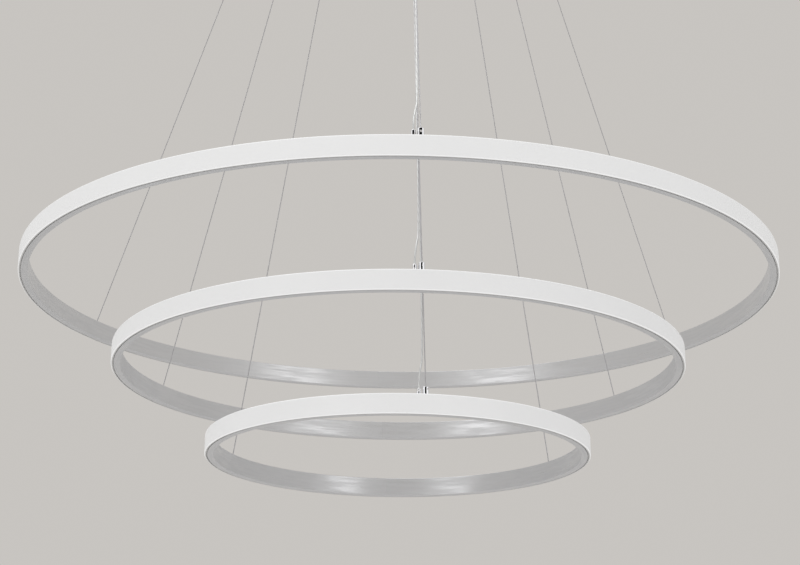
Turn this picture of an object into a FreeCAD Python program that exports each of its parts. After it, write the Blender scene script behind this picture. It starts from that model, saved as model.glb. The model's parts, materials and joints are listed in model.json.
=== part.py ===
"""LED ring chandelier: three suspended ring lights under one ceiling canopy.

Millimetres, +Z up. The origin is the centre of the ceiling bracket's top face, so the ceiling is z = 0 and
everything hangs below it. The viewer stands on the -Y side: an azimuth of 0 degrees points at the viewer and
grows to the viewer's right.
"""
import FreeCAD, Part
import math
import os

os.makedirs("parts", exist_ok=True)
V = FreeCAD.Vector
Z = V(0, 0, 1)

# Rings: outside diameters, and how far each top face hangs below the ceiling
large_diameter = 800.0
medium_diameter = 600.0
small_diameter = 400.0
large_drop = 910.0
medium_drop = 1000.0
small_drop = 1090.0

# Ring section: an aluminium channel open outwards, closed by an opal diffuser
section_height = 20.0
section_depth = 10.0
web_wall = 1.5
flange_wall = 1.4
frame_round = 0.8
diffuser_wall = 2.0
diffuser_round = 1.2
groove_width = 1.0
leg_wall = 1.0
leg_grip = 1.2
leg_clearance = 0.1
seam_gap = 0.15

# LED strip on the channel's web
strip_height = 8.0
strip_thickness = 0.4
strip_end_gap = 3.0
strip_glue = 0.1

# Splice bar under the top flange, across the seam of the channel
splice_length = 40.0
splice_height = 3.0
splice_depth = 3.4
splice_clearance = 0.1
splice_screw_pitch = 24.0
splice_screw_radius = 1.2
splice_head_radius = 1.9
splice_head_height = 0.9

# Suspension: three wires to a ring, fixed this far inside the ring's outside face
attach_inset = 6.2
wire_radius = 0.6
wire_clearance = 0.2
stop_radius = 1.8
stop_length = 4.0
large_exit_radius = 42.0
medium_exit_radius = 28.0
small_exit_radius = 14.0

# Gripper and cord gland on each ring's front point
ring_gripper_radius = 3.25
ring_gripper_height = 7.8
ring_gripper_chamfer = 0.6
stud_radius = 1.5
stud_clearance = 0.1
rivet_radius = 1.9
rivet_height = 1.0
ring_gland_radius = 2.25
ring_gland_height = 6.3
ring_gland_round = 1.0
ring_gland_offset = 6.5

# Power cords
cord_radius = 1.0
cord_clearance = 0.1
cord_wire_gap = 0.7
canopy_gland_offset = 9.0
cord_straight_start = 62.0
cord_straight_end = 42.0
cord_lead_in = 20.0
cord_ring_lead_in = 12.0

# Canopy cover
canopy_diameter = 200.0
canopy_height = 45.0
canopy_wall = 1.5
canopy_round = 4.0

# Ceiling bracket
bracket_diameter = 180.0
bracket_wall = 2.0
ear_width = 16.0
ear_height = 16.0
ear_clearance = 0.2
slot_spacing = 120.0
slot_width = 5.0
slot_length = 20.0
cover_screw_radius = 2.0
cover_screw_drop = 10.0
cover_screw_length = 8.0
cover_head_radius = 3.8
cover_head_height = 2.2
screw_clearance = 0.1

# Cable grommet
grommet_hole_radius = 9.0
grommet_flange_radius = 12.0
grommet_flange_height = 2.0
grommet_bore_radius = 5.0

# LED driver, terminal block and earth screw under the bracket
driver_length = 104.0
driver_width = 36.0
driver_height = 24.0
driver_round = 3.0
driver_centre_y = 52.0
driver_foot_length = 8.0
driver_foot_height = 2.0
driver_screw_radius = 1.5
driver_head_radius = 3.0
driver_head_height = 1.6
terminal_length = 36.0
terminal_width = 16.0
terminal_height = 14.0
terminal_centre_y = -66.0
terminal_ways = 3
terminal_well_radius = 2.2
terminal_well_depth = 7.0
terminal_entry_radius = 1.6
earth_x = -45.0
earth_y = -50.0
earth_head_radius = 4.0
earth_head_height = 2.5
earth_shank_radius = 2.0

# Canopy wire grippers and their release plungers
barrel_radius = 3.5
barrel_length = 10.0
barrel_chamfer = 0.5
barrel_stud_radius = 2.5
barrel_stud_reach = 2.0
barrel_thread_clearance = 0.05
chamber_radius = 2.4
chamber_top = 2.0
mouth_length = 1.5
plunger_head_length = 2.0
plunger_reach = 5.0
plunger_wall = 0.8
plunger_clearance = 0.1
plunger_flare = 0.5
nut_across_flats = 8.0
nut_height = 3.0
tail_rise = 5.0
tail_bend_radius = 6.0
tail_run = 4.0

# Canopy cord glands
gland_across_flats = 6.4
gland_hex_height = 3.5
gland_nose_height = 5.5
gland_nose_radius = 1.7
gland_stud_radius = 2.0
gland_nut_across_flats = 6.4
gland_nut_height = 2.5

# Places that follow from the sizes above
canopy_radius = canopy_diameter / 2
canopy_inner_radius = canopy_radius - canopy_wall
underside_z = -canopy_height
floor_z = underside_z + canopy_wall
plunger_tip_z = underside_z - barrel_length - plunger_reach
gland_tip_z = underside_z - gland_hex_height - gland_nose_height
plunger_bore_radius = wire_radius + wire_clearance
mouth_radius = plunger_bore_radius + plunger_wall + plunger_clearance
flange_inset = diffuser_wall + groove_width
web_inset = section_depth - web_wall
cord_wire_distance = wire_radius + cord_radius + cord_wire_gap

RINGS = {
    "large": (large_diameter / 2, -large_drop, large_exit_radius),
    "medium": (medium_diameter / 2, -medium_drop, medium_exit_radius),
    "small": (small_diameter / 2, -small_drop, small_exit_radius),
}

# Azimuths of each ring's three wires, and of the seam at the rings' back
POINTS = {
    "large": {"front": 2.7, "right": 124.9, "left": -116.9},
    "medium": {"front": 4.1, "right": 123.0, "left": -116.0},
    "small": {"front": 7.8, "right": 121.4, "left": -113.1},
}
SEAM = 183.7

# The wires leave the canopy above their fixing points, but the front ones in a row towards the viewer
EXITS = {ring: {**points, "front": 0.0} for ring, points in POINTS.items()}


def place(azimuth, radius, z, side=0.0):
    """The point at an azimuth and radius, moved sideways (to the viewer's right at the front) by side."""
    a = math.radians(azimuth)
    return V(radius * math.sin(a) + side * math.cos(a), -radius * math.cos(a) + side * math.sin(a), z)


def cylinder(radius, low_z, high_z, at=V(0, 0, 0)):
    return Part.makeCylinder(radius, high_z - low_z, V(at.x, at.y, low_z))


def cone(low_radius, high_radius, low_z, high_z, at=V(0, 0, 0)):
    return Part.makeCone(low_radius, high_radius, high_z - low_z, V(at.x, at.y, low_z))


def hexagon(across_flats, low_z, high_z, at):
    """A hexagonal bar between two heights."""
    r = across_flats / math.sqrt(3)
    corners = [
        V(at.x + r * math.cos(math.radians(60 * k)), at.y + r * math.sin(math.radians(60 * k)), low_z)
        for k in range(7)
    ]
    return Part.Face(Part.makePolygon(corners)).extrude(V(0, 0, high_z - low_z))


def box(low, high):
    return Part.makeBox(high.x - low.x, high.y - low.y, high.z - low.z, low)


def rounded_outline(corners):
    """A face in the XZ plane through (x, z, radius) corners: a radius above 0 rounds its corner."""
    count = len(corners)
    starts, ends, arcs = [], [], []
    for i, (x, z, radius) in enumerate(corners):
        here = V(x, 0, z)
        back = (V(corners[i - 1][0], 0, corners[i - 1][1]) - here).normalize()
        ahead = V(corners[(i + 1) % count][0], 0, corners[(i + 1) % count][1]) - here
        ahead = ahead.normalize()
        if radius <= 0:
            starts.append(here)
            ends.append(here)
            arcs.append(None)
            continue
        half = back.getAngle(ahead) / 2
        run = radius / math.tan(half)
        towards = (back + ahead).normalize()
        centre = here + towards * (radius / math.sin(half))
        starts.append(here + back * run)
        ends.append(here + ahead * run)
        arcs.append(centre - towards * radius)
    edges = []
    for i in range(count):
        if arcs[i] is not None:
            edges.append(Part.Arc(starts[i], arcs[i], ends[i]).toShape())
        edges.append(Part.LineSegment(ends[i], starts[(i + 1) % count]).toShape())
    return Part.Face(Part.Wire(edges))


def ring_of(face, radius, gap):
    """Turns a section round Z, starting at the seam and stopping short of it by gap."""
    short = math.degrees(gap / radius)
    turned = face.revolve(V(0, 0, 0), Z, 360.0 - short)
    turned.rotate(V(0, 0, 0), Z, SEAM - 90.0 + short / 2)
    return turned


def spun(corners, at=V(0, 0, 0)):
    """A turned piece: (radius, z) corners spun round the vertical line at a point."""
    face = rounded_outline([(x, z, 0) for x, z in corners])
    turned = face.revolve(V(0, 0, 0), Z, 360.0)
    turned.translate(V(at.x, at.y, 0))
    return turned


def save(name, solids):
    shape = solids[0] if len(solids) == 1 else Part.makeCompound(solids)
    assert shape.isValid(), name
    shape.exportStep(f"parts/{name}.step")


# ---------------------------------------------------------------------------------------------- rings


def ring_frame(radius, top, points):
    """The rolled aluminium channel: web inside, two flanges, holes in the top flange."""
    bottom = top - section_height
    section = rounded_outline([
        (radius - section_depth, top, frame_round / 2),
        (radius - flange_inset, top, 0),
        (radius - flange_inset, top - flange_wall, 0),
        (radius - web_inset, top - flange_wall, 0),
        (radius - web_inset, bottom + flange_wall, 0),
        (radius - flange_inset, bottom + flange_wall, 0),
        (radius - flange_inset, bottom, 0),
        (radius - section_depth, bottom, frame_round),
    ])
    frame = ring_of(section, radius, seam_gap)
    through = (top - flange_wall - 1, top + 1)
    attach = radius - attach_inset
    holes = [
        cylinder(wire_radius + wire_clearance, *through, place(points[side], attach, 0))
        for side in ("right", "left")
    ]
    holes.append(cylinder(stud_radius + stud_clearance, *through, place(points["front"], attach, 0)))
    gland_spot = place(points["front"], attach, 0, -ring_gland_offset)
    holes.append(cylinder(stud_radius + stud_clearance, *through, gland_spot))
    holes += [
        cylinder(splice_screw_radius + screw_clearance, *through, spot)
        for spot in splice_spots(radius)
    ]
    return frame.cut(Part.makeCompound(holes))


def ring_diffuser(radius, top):
    """The opal band: a wall flush with both flanges, with two legs that grip inside them."""
    bottom = top - section_height
    back = radius - diffuser_wall
    tip = radius - flange_inset - leg_grip
    upper = top - flange_wall - leg_clearance
    lower = bottom + flange_wall + leg_clearance
    section = rounded_outline([
        (back, top, 0),
        (radius, top, diffuser_round),
        (radius, bottom, diffuser_round),
        (back, bottom, 0),
        (back, lower, 0),
        (tip, lower, 0),
        (tip, lower + leg_wall, 0),
        (back, lower + leg_wall, 0),
        (back, upper - leg_wall, 0),
        (tip, upper - leg_wall, 0),
        (tip, upper, 0),
        (back, upper, 0),
    ])
    return ring_of(section, radius, seam_gap)


def led_strip(radius, top, points):
    """The LED strip on the web, and its lead up through the cord gland."""
    middle = top - section_height / 2
    face = radius - web_inset + strip_glue
    section = rounded_outline([
        (face, middle + strip_height / 2, 0),
        (face + strip_thickness, middle + strip_height / 2, 0),
        (face + strip_thickness, middle - strip_height / 2, 0),
        (face, middle - strip_height / 2, 0),
    ])
    spot = place(points["front"], radius - attach_inset, 0, -ring_gland_offset)
    lead = cylinder(cord_radius, middle + strip_height / 2, top + ring_gland_height, spot)
    return [ring_of(section, radius, strip_end_gap), lead]


def splice_spots(radius):
    """The two screws, one each side of the seam, at the splice bar's middle."""
    middle = radius - web_inset + splice_clearance + splice_depth / 2
    step = math.degrees(splice_screw_pitch / 2 / middle)
    return [place(SEAM + step * side, middle, 0) for side in (-1, 1)]


def splice_bar(radius, top):
    """A curved bar under the top flange that ties the channel's two ends together."""
    inner = radius - web_inset + splice_clearance
    outer = inner + splice_depth
    high = top - flange_wall
    section = rounded_outline([
        (inner, high, 0),
        (outer, high, 0),
        (outer, high - splice_height, 0),
        (inner, high - splice_height, 0),
    ])
    angle = math.degrees(splice_length / inner)
    bar = section.revolve(V(0, 0, 0), Z, angle)
    bar.rotate(V(0, 0, 0), Z, SEAM - 90.0 - angle / 2)
    holes = [
        cylinder(splice_screw_radius + screw_clearance, high - splice_height - 1, high + 1, spot)
        for spot in splice_spots(radius)
    ]
    return bar.cut(Part.makeCompound(holes))


def splice_screws(radius, top):
    low = top - flange_wall - splice_height
    return [
        spun([
            (0, low),
            (splice_screw_radius, low),
            (splice_screw_radius, top),
            (splice_head_radius, top),
            (splice_head_radius, top + splice_head_height),
            (0, top + splice_head_height),
        ], spot)
        for spot in splice_spots(radius)
    ]


def wire_stops(radius, top, points):
    """The crimped stops that carry the ring on its two back wires, each with the wire's own end in it."""
    high = top - flange_wall
    return [
        spun([
            (0, high - stop_length),
            (stop_radius, high - stop_length),
            (stop_radius, high),
            (wire_radius, high),
            (wire_radius, top),
            (0, top),
        ], place(points[side], radius - attach_inset, 0))
        for side in ("right", "left")
    ]


def ring_gripper(radius, top, points):
    """The chrome gripper on the front point, riveted through the top flange."""
    inside = top - flange_wall
    high = top + ring_gripper_height
    return spun([
        (0, inside - rivet_height),
        (rivet_radius, inside - rivet_height),
        (rivet_radius, inside),
        (stud_radius, inside),
        (stud_radius, top),
        (ring_gripper_radius, top),
        (ring_gripper_radius, high - ring_gripper_chamfer),
        (ring_gripper_radius - ring_gripper_chamfer, high),
        (0, high),
    ], place(points["front"], radius - attach_inset, 0))


def ring_gland(radius, top, points):
    """The small cord gland beside the gripper, snapped through the top flange."""
    inside = top - flange_wall
    bore = cord_radius + cord_clearance
    high = top + ring_gland_height
    return spun([
        (bore, inside - rivet_height),
        (stud_radius, inside - rivet_height),
        (stud_radius, top),
        (ring_gland_radius, top),
        (ring_gland_radius, high - ring_gland_round),
        (ring_gland_radius - ring_gland_round, high),
        (bore, high),
    ], place(points["front"], radius - attach_inset, 0, -ring_gland_offset))


# ------------------------------------------------------------------------------------- wires and cords


def wire_ends(ring, side):
    """The wire's ends: the tip of its plunger, and the top of its gripper or, behind, of the ring."""
    radius, top, exit_radius = RINGS[ring]
    end_z = top + (ring_gripper_height if side == "front" else 0.0)
    start = place(EXITS[ring][side], exit_radius, plunger_tip_z)
    return start, place(POINTS[ring][side], radius - attach_inset, end_z)


def wire(ring, side):
    """A taut wire from a plunger's tip to the ring. Both its ends are level, so it seats on both faces."""
    start, end = wire_ends(ring, side)
    disc = Part.Face(Part.Wire([Part.Circle(start, Z, wire_radius).toShape()]))
    return disc.extrude(end - start)


def cord_route(ring):
    """The cord's points: straight down out of the canopy's gland, in behind the front wire, and at the lower
    end out again and straight down into the ring's gland."""
    start, end = wire_ends(ring, "front")
    radius, top, exit_radius = RINGS[ring]
    azimuth = POINTS[ring]["front"]
    ring_z = top + ring_gland_height

    def behind(z):
        on_wire = start + (end - start) * ((start.z - z) / (start.z - end.z))
        return on_wire - place(azimuth, cord_wire_distance, 0)

    return [
        place(EXITS[ring]["front"], exit_radius, gland_tip_z, -canopy_gland_offset),
        place(EXITS[ring]["front"], exit_radius, gland_tip_z - cord_lead_in, -canopy_gland_offset),
        behind(gland_tip_z - cord_straight_start),
        behind(ring_z + cord_straight_end),
        place(azimuth, radius - attach_inset, ring_z + cord_ring_lead_in, -ring_gland_offset),
        place(azimuth, radius - attach_inset, ring_z, -ring_gland_offset),
    ]


def cord(name, route):
    """A round cord along straight runs joined by arcs that are tangent to them."""
    edges = []
    last = route[0]
    radii = []
    for before, corner, after in zip(route, route[1:], route[2:]):
        back = (before - corner).normalize()
        ahead = (after - corner).normalize()
        half_turn = (math.pi - back.getAngle(ahead)) / 2
        run = 0.45 * min((before - corner).Length, (after - corner).Length)
        radius = run / math.tan(half_turn)
        towards = (back + ahead).normalize()
        centre = corner + towards * (radius / math.cos(half_turn))
        edges.append(Part.LineSegment(last, corner + back * run).toShape())
        arc_end = corner + ahead * run
        edges.append(Part.Arc(corner + back * run, centre - towards * radius, arc_end).toShape())
        last = arc_end
        radii.append(round(radius, 1))
    edges.append(Part.LineSegment(last, route[-1]).toShape())
    path = Part.Wire(edges)
    disc = Part.Wire([Part.Circle(route[0], route[1] - route[0], cord_radius).toShape()])
    tube = path.makePipeShell([disc], True, False)
    solid = tube if tube.ShapeType == "Solid" else Part.Solid(tube)
    expected = math.pi * cord_radius ** 2 * path.Length
    share = solid.Volume / expected
    print(f"{name}: length {path.Length:.1f}, bend radii {radii}, volume {share:.4f} of expected")
    return solid


# --------------------------------------------------------------------------------------------- canopy


def exits():
    """Every wire's place at the canopy, ring by ring."""
    return [
        (ring, side, place(azimuth, RINGS[ring][2], 0))
        for ring in RINGS
        for side, azimuth in EXITS[ring].items()
    ]


def gland_spots():
    return [place(EXITS[ring]["front"], RINGS[ring][2], 0, -canopy_gland_offset) for ring in RINGS]


ear_x = math.sqrt(canopy_inner_radius ** 2 - (ear_width / 2) ** 2) - ear_clearance


def canopy_cover():
    """A turned cup, open to the ceiling, with the holes of all that passes through it."""
    outline = [
        (0, underside_z, 0),
        (canopy_radius, underside_z, canopy_round),
        (canopy_radius, 0, 0),
        (canopy_inner_radius, 0, 0),
        (canopy_inner_radius, floor_z, max(canopy_round - canopy_wall, 0)),
        (0, floor_z, 0),
    ]
    cup = rounded_outline(outline).revolve(V(0, 0, 0), Z, 360.0)
    through = (underside_z - 1, floor_z + 1)
    cuts = [cylinder(barrel_stud_radius + barrel_thread_clearance, *through, at) for _, _, at in exits()]
    gland_hole = gland_stud_radius + barrel_thread_clearance
    cuts += [cylinder(gland_hole, *through, at) for at in gland_spots()]
    cuts.append(
        Part.makeCylinder(
            cover_screw_radius + screw_clearance,
            canopy_diameter + 2,
            V(-canopy_radius - 1, 0, -cover_screw_drop),
            V(1, 0, 0),
        )
    )
    return cup.cut(Part.makeCompound(cuts))


def ceiling_bracket():
    """A round plate against the ceiling, with two ears turned down that hold the cover."""
    plate = cylinder(bracket_diameter / 2, -bracket_wall, 0)
    bar = box(V(-ear_x, -ear_width / 2, -bracket_wall), V(ear_x, ear_width / 2, 0))
    ears = [
        box(V(x, -ear_width / 2, -ear_height), V(x + bracket_wall, ear_width / 2, 0))
        for x in (-ear_x, ear_x - bracket_wall)
    ]
    plate = plate.fuse([bar] + ears).removeSplitter()
    cuts = [cylinder(grommet_hole_radius, -bracket_wall - 1, 1)]
    reach = (slot_length - slot_width) / 2
    for x in (-slot_spacing / 2, slot_spacing / 2):
        cuts.append(box(V(x - reach, -slot_width / 2, -bracket_wall - 1), V(x + reach, slot_width / 2, 1)))
        cuts += [cylinder(slot_width / 2, -bracket_wall - 1, 1, V(x + end, 0, 0)) for end in (-reach, reach)]
    cuts += [
        cylinder(driver_screw_radius + screw_clearance, -bracket_wall - 1, 1, at)
        for at in driver_screw_spots()
    ]
    earth = V(earth_x, earth_y, 0)
    cuts.append(cylinder(earth_shank_radius + screw_clearance, -bracket_wall - 1, 1, earth))
    ear_hole_radius = cover_screw_radius + screw_clearance
    ear_start = V(-ear_x - 1, 0, -cover_screw_drop)
    cuts.append(Part.makeCylinder(ear_hole_radius, 2 * ear_x + 2, ear_start, V(1, 0, 0)))
    for cut in cuts:
        plate = plate.cut(cut)
    return plate


def cover_screws():
    """Two screws through the cover's wall into the bracket's ears."""
    screws = []
    for way in (-1, 1):
        face = V(way * canopy_radius, 0, -cover_screw_drop)
        inward = V(-way, 0, 0)
        head = Part.makeCylinder(cover_head_radius, cover_head_height, face, -inward)
        shank = Part.makeCylinder(cover_screw_radius, cover_screw_length, face, inward)
        screws.append(head.fuse(shank).removeSplitter())
    return screws


def cable_grommet():
    return spun([
        (grommet_bore_radius, -bracket_wall - grommet_flange_height),
        (grommet_flange_radius, -bracket_wall - grommet_flange_height),
        (grommet_flange_radius, -bracket_wall),
        (grommet_hole_radius, -bracket_wall),
        (grommet_hole_radius, 0),
        (grommet_bore_radius, 0),
    ])


def driver_screw_spots():
    x = (driver_length + driver_foot_length) / 2
    return [V(-x, driver_centre_y, 0), V(x, driver_centre_y, 0)]


def led_driver():
    """A long case with rounded edges and a flat foot at each end."""
    half = V(driver_length / 2, driver_width / 2, 0)
    high = -bracket_wall
    case = box(
        V(-half.x, driver_centre_y - half.y, high - driver_height),
        V(half.x, driver_centre_y + half.y, high),
    )
    upright = [e for e in case.Edges if abs(e.tangentAt(e.FirstParameter).z) > 0.5]
    case = case.makeFillet(driver_round, upright)
    feet = box(
        V(-half.x - driver_foot_length, driver_centre_y - half.y / 2, high - driver_foot_height),
        V(half.x + driver_foot_length, driver_centre_y + half.y / 2, high),
    )
    case = case.fuse(feet).removeSplitter()
    for at in driver_screw_spots():
        low = high - driver_foot_height - 1
        case = case.cut(cylinder(driver_screw_radius + screw_clearance, low, high + 1, at))
    return case


def driver_screws():
    foot = -bracket_wall - driver_foot_height
    return [
        spun([
            (0, foot - driver_head_height),
            (driver_head_radius, foot - driver_head_height),
            (driver_head_radius, foot),
            (driver_screw_radius, foot),
            (driver_screw_radius, 0),
            (0, 0),
        ], at)
        for at in driver_screw_spots()
    ]


def terminal_block():
    """A three-way block: a screw well under each way, and a wire entry right through it."""
    high = -bracket_wall
    low = high - terminal_height
    y0 = terminal_centre_y - terminal_width / 2
    block = box(V(-terminal_length / 2, y0, low), V(terminal_length / 2, y0 + terminal_width, high))
    pitch = terminal_length / terminal_ways
    for k in range(terminal_ways):
        x = (k - (terminal_ways - 1) / 2) * pitch
        well = V(x, terminal_centre_y, 0)
        entry = V(x, y0 - 1, low + terminal_well_depth / 2)
        block = block.cut(cylinder(terminal_well_radius, low - 1, low + terminal_well_depth, well))
        block = block.cut(Part.makeCylinder(terminal_entry_radius, terminal_width + 2, entry, V(0, 1, 0)))
    return block


def earth_screw():
    low = -bracket_wall - earth_head_height
    return spun([
        (0, low),
        (earth_head_radius, low),
        (earth_head_radius, -bracket_wall),
        (earth_shank_radius, -bracket_wall),
        (earth_shank_radius, 0),
        (0, 0),
    ], V(earth_x, earth_y, 0))


stud_top_z = floor_z + nut_height + barrel_stud_reach
chamber_top_z = underside_z - chamber_top
shoulder_z = underside_z - barrel_length + mouth_length
barrel_end_z = underside_z - barrel_length


def canopy_gripper(at):
    """A gripper's barrel: a stud through the cover, a chamber for the plunger's head, a narrower mouth."""
    return spun([
        (plunger_bore_radius, stud_top_z),
        (plunger_bore_radius, chamber_top_z),
        (chamber_radius, chamber_top_z),
        (chamber_radius, shoulder_z),
        (mouth_radius, shoulder_z),
        (mouth_radius, barrel_end_z),
        (barrel_radius - barrel_chamfer, barrel_end_z),
        (barrel_radius, barrel_end_z + barrel_chamfer),
        (barrel_radius, underside_z),
        (barrel_stud_radius, underside_z),
        (barrel_stud_radius, stud_top_z),
    ], at)


def plunger(at):
    """A release plunger: its head rests on the barrel's shoulder, and its flared tip stands out below."""
    stem = mouth_radius - plunger_clearance
    flare_z = plunger_tip_z + plunger_flare
    return spun([
        (plunger_bore_radius, shoulder_z + plunger_head_length),
        (plunger_bore_radius, flare_z),
        (plunger_bore_radius + plunger_flare, plunger_tip_z),
        (stem, plunger_tip_z),
        (stem, shoulder_z),
        (chamber_radius - plunger_clearance, shoulder_z),
        (chamber_radius - plunger_clearance, shoulder_z + plunger_head_length),
    ], at)


def nut(across_flats, bore_radius, height, at):
    body = hexagon(across_flats, floor_z, floor_z + height, at)
    return body.cut(cylinder(bore_radius, floor_z - 1, floor_z + height + 1, at))


def wire_tail(at, azimuth):
    """The wire's upper end: up through the gripper, then bent over towards the canopy's wall."""
    outward = place(azimuth, 1, 0)
    low = V(at.x, at.y, plunger_tip_z)
    bend = V(at.x, at.y, stud_top_z + tail_rise)
    middle = bend + outward * (tail_bend_radius * (1 - math.cos(math.pi / 4)))
    middle += Z * (tail_bend_radius * math.sin(math.pi / 4))
    over = bend + outward * tail_bend_radius + Z * tail_bend_radius
    path = Part.Wire([
        Part.LineSegment(low, bend).toShape(),
        Part.Arc(bend, middle, over).toShape(),
        Part.LineSegment(over, over + outward * tail_run).toShape(),
    ])
    disc = Part.Wire([Part.Circle(low, Z, wire_radius).toShape()])
    return Part.Solid(path.makePipeShell([disc], True, False))


def canopy_gland(at):
    """A cord gland: a stud through the cover, a hexagon and a tapered nose."""
    bore = cord_radius + cord_clearance
    hex_z = underside_z - gland_hex_height
    body = hexagon(gland_across_flats, hex_z, underside_z, at)
    nose = cone(gland_nose_radius, gland_across_flats / 2 - 0.4, gland_tip_z, hex_z, at)
    stud = cylinder(gland_stud_radius, underside_z, floor_z + gland_nut_height + 1, at)
    gland = body.fuse([nose, stud]).removeSplitter()
    return gland.cut(cylinder(bore, gland_tip_z - 1, floor_z + gland_nut_height + 2, at))


def cord_tail(at):
    """The cord's end inside the canopy, up through its gland."""
    return cylinder(cord_radius, gland_tip_z, floor_z + gland_nut_height + 8, at)


# ----------------------------------------------------------------------------------------- all pieces

for ring, (radius, top, _) in RINGS.items():
    points = POINTS[ring]
    save(f"ring_frame_{ring}", [ring_frame(radius, top, points)])
    save(f"diffuser_{ring}", [ring_diffuser(radius, top)])
    save(f"led_strip_{ring}", led_strip(radius, top, points))
    save(f"splice_bar_{ring}", [splice_bar(radius, top)])
    save(f"splice_screws_{ring}", splice_screws(radius, top))
    save(f"wire_stops_{ring}", wire_stops(radius, top, points))
    save(f"ring_gripper_{ring}", [ring_gripper(radius, top, points)])
    save(f"ring_cord_gland_{ring}", [ring_gland(radius, top, points)])
    save(f"power_cord_{ring}", [cord(f"power_cord_{ring}", cord_route(ring))])
    for side in points:
        save(f"wire_{ring}_{side}", [wire(ring, side)])

for ring, side, at in exits():
    save(f"release_plunger_{ring}_{side}", [plunger(at)])

save("canopy_cover", [canopy_cover()])
save("ceiling_bracket", [ceiling_bracket()])
save("cover_screws", cover_screws())
save("cable_grommet", [cable_grommet()])
save("led_driver", [led_driver()])
save("driver_screws", driver_screws())
save("terminal_block", [terminal_block()])
save("earth_screw", [earth_screw()])
save("canopy_grippers", [canopy_gripper(at) for _, _, at in exits()])
save("gripper_nuts", [
    nut(nut_across_flats, barrel_stud_radius + barrel_thread_clearance, nut_height, at)
    for _, _, at in exits()
])
save("wire_tails", [wire_tail(at, EXITS[ring][side]) for ring, side, at in exits()])
save("canopy_cord_glands", [canopy_gland(at) for at in gland_spots()])
save("cord_gland_nuts", [
    nut(gland_nut_across_flats, gland_stud_radius + barrel_thread_clearance, gland_nut_height, at)
    for at in gland_spots()
])
save("cord_tails", [cord_tail(at) for at in gland_spots()])
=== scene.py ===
"""LED ring chandelier: the pieces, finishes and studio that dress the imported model.

Metres, in the model's own frame: the ceiling is z = 0, everything hangs below it, and the viewer stands
on the -Y side. An azimuth is an angle round the vertical, 0 towards the viewer and growing to the
viewer's right.
"""
import json
import math

import bmesh
import bpy
import numpy as np
from bpy.props import FloatProperty, FloatVectorProperty, PointerProperty
from bpy.types import Operator, Panel, PropertyGroup
from mathutils import Matrix, Vector


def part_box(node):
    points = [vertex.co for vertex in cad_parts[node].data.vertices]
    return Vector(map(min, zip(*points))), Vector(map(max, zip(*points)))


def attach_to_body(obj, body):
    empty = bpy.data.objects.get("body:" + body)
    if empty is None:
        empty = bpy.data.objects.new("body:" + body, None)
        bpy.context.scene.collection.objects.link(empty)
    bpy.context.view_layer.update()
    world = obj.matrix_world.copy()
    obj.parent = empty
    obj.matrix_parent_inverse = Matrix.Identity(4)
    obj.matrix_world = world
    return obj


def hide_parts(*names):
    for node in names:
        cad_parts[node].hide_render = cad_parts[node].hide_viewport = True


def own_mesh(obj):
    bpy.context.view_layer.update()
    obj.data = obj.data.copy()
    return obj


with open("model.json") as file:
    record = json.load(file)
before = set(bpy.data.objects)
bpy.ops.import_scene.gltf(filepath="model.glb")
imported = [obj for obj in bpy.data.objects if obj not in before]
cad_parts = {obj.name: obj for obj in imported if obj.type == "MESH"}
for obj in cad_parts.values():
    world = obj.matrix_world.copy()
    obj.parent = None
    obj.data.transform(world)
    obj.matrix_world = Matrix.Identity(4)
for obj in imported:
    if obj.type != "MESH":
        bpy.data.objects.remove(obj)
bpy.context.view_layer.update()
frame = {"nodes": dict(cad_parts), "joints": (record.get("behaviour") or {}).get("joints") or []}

bl_info = {
    "name": "LED ring chandelier",
    "version": (1, 0, 0),
    "blender": (4, 5, 0),
    "location": "View3D > Sidebar > Chandelier",
    "description": "Makes the pieces, finishes and studio of a chandelier of three hanging LED rings",
    "category": "Object",
}

RINGS = ("large", "medium", "small")
POINTS = {  # azimuths of each ring's three wires
    "large": {"front": 2.7, "right": 124.9, "left": -116.9},
    "medium": {"front": 4.1, "right": 123.0, "left": -116.0},
    "small": {"front": 7.8, "right": 121.4, "left": -113.1},
}
EXITS = {  # azimuths at which they leave the canopy
    ring: {**points, "front": 0.0} for ring, points in POINTS.items()
}
SEAM = 183.7  # azimuth of the rings' seams
CAMERA_PLACE = (0.00136, -1.89715, -1.52845)
WIRE_BORE = 0.0008  # radius of the hole for a wire through a gripper and its plunger
SKIN = 0.00007  # how far the pieces' faces lie inside the model's, whose box is that of flat facets
CORE_SKIN = 0.000005  # the same for wires and cords


# -------------------- settings --------------------


def length(name, description, default):
    return FloatProperty(
        name=name, description=description, default=default, precision=5, unit="LENGTH", subtype="DISTANCE"
    )


def lengths_of_rings(name, description, defaults):
    return FloatVectorProperty(
        name=name, description=description, default=tuple(defaults), size=3, precision=5, unit="LENGTH"
    )


def angle(name, description, degrees):
    return FloatProperty(
        name=name, description=description, default=math.radians(degrees), unit="ROTATION"
    )


def colour(name, description, default):
    return FloatVectorProperty(
        name=name, description=description, default=default, size=3, min=0.0, max=1.0, subtype="COLOR"
    )


def share(name, description, default):
    return FloatProperty(
        name=name, description=description, default=default, min=0.0, max=4.0, subtype="FACTOR"
    )


def ring_radius(ring):
    low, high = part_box(f"diffuser_{ring}")
    return round((high.x - low.x) / 2, 3)


def ring_top(ring):
    return round(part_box(f"diffuser_{ring}")[1].z, 4)


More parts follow.
